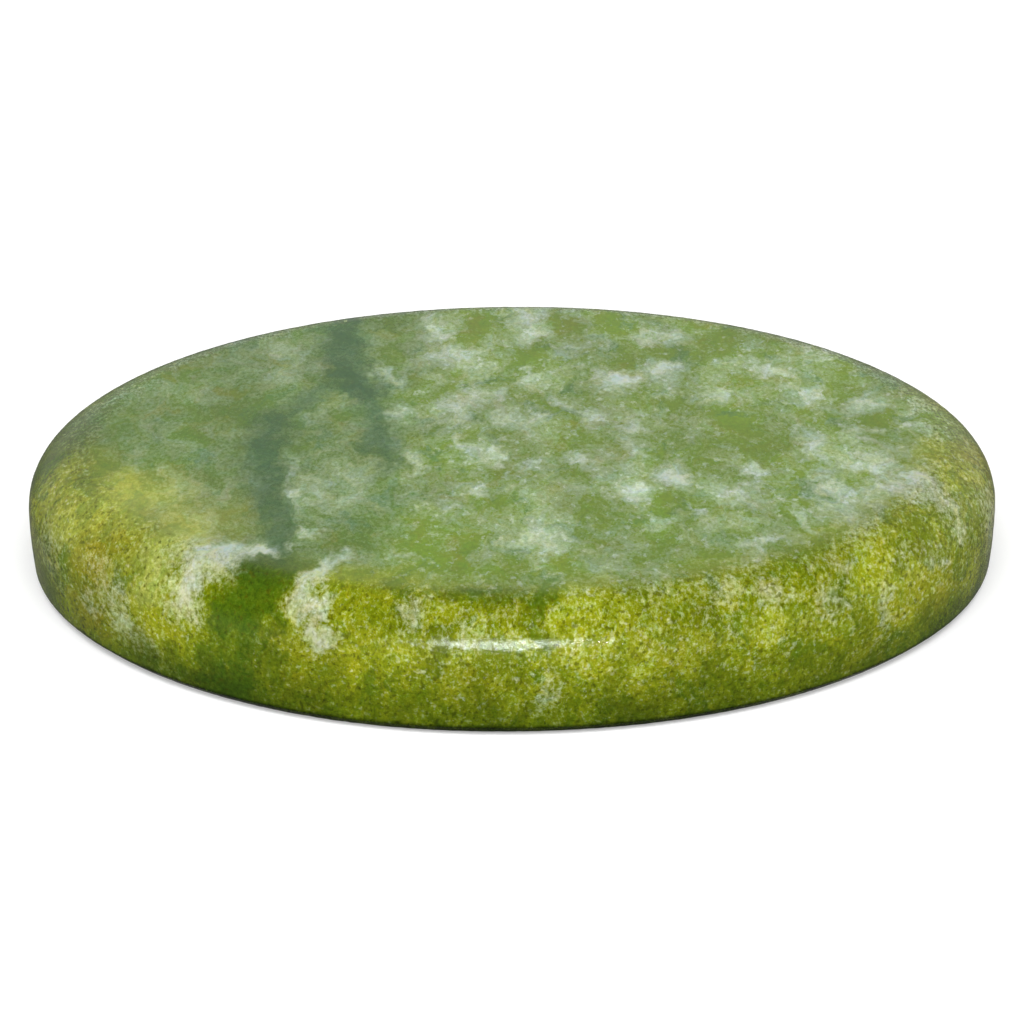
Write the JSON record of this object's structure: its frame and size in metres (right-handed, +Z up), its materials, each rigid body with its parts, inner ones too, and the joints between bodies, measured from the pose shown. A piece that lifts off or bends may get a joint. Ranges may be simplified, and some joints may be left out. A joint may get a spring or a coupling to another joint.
{
  "type": "polished stone disc",
  "caption": "Flat round disc of polished green natural stone, with a broad rounded upper edge, a slightly barrelled side and a small bevel round the underside.",
  "frame": {"origin": "centre of the flat underside", "axes": "+Z up through the polished top, along the disc's axis; -Y is the front"},
  "size_m": [0.05, 0.05, 0.006],
  "materials": {
    "green_stone": "polished natural stone, glossy"
  },
  "bodies": {
    "root": {"stone_disc": "green_stone"}
  },
  "joints": []
}
